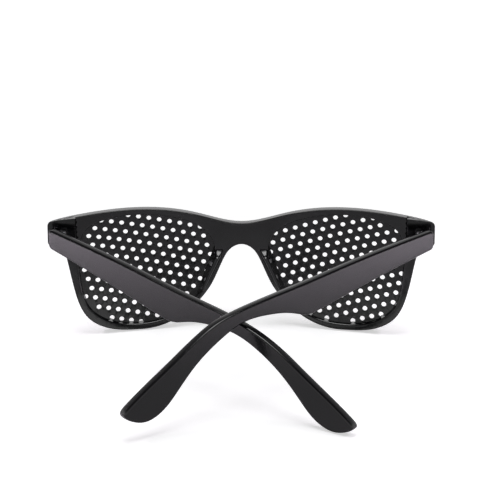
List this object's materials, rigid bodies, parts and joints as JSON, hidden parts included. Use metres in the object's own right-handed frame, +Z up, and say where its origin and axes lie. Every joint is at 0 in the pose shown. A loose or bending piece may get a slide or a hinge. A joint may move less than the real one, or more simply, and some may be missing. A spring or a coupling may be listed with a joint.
{
  "type": "pinhole glasses",
  "caption": "Black moulded glasses with bowed, perforated opaque plates in place of lenses and folding temples on small metal hinges.",
  "frame": {"origin": "on the surface that the glasses stand on, under the middle of their box", "axes": "+Z up, +Y ahead of the wearer, +X towards the wearer's right"},
  "size_m": [0.1448, 0.1047, 0.0475],
  "materials": {
    "frame_plastic": "glossy moulded black",
    "plate_plastic": "glossy moulded black, perforated",
    "temple_plastic": "glossy moulded black",
    "hinge_steel": "nickel-plated",
    "screw_steel": "nickel-plated"
  },
  "bodies": {
    "front": {"front_frame": "frame_plastic", "pinhole_plate_left": "plate_plastic", "pinhole_plate_right": "plate_plastic", "front_hinge_leaf_left": "hinge_steel", "front_hinge_leaf_right": "hinge_steel", "hinge_screw_left": "screw_steel", "hinge_screw_right": "screw_steel"},
    "left_temple": {"temple_left": "temple_plastic", "temple_hinge_leaf_left": "hinge_steel"},
    "right_temple": {"temple_right": "temple_plastic", "temple_hinge_leaf_right": "hinge_steel"}
  },
  "joints": [
    {"name": "left_temple_fold", "type": "hinge", "parent": "front", "child": "left_temple", "pos_m": [-0.0665, 0.03318, 0.03993], "axis": [0, 0.117, 0.9931], "range_deg": [-1, 34.4]},
    {"name": "right_temple_fold", "type": "hinge", "parent": "front", "child": "right_temple", "pos_m": [0.0665, 0.03318, 0.03993], "axis": [0, -0.117, -0.9931], "range_deg": [-53.4, 0]}
  ]
}
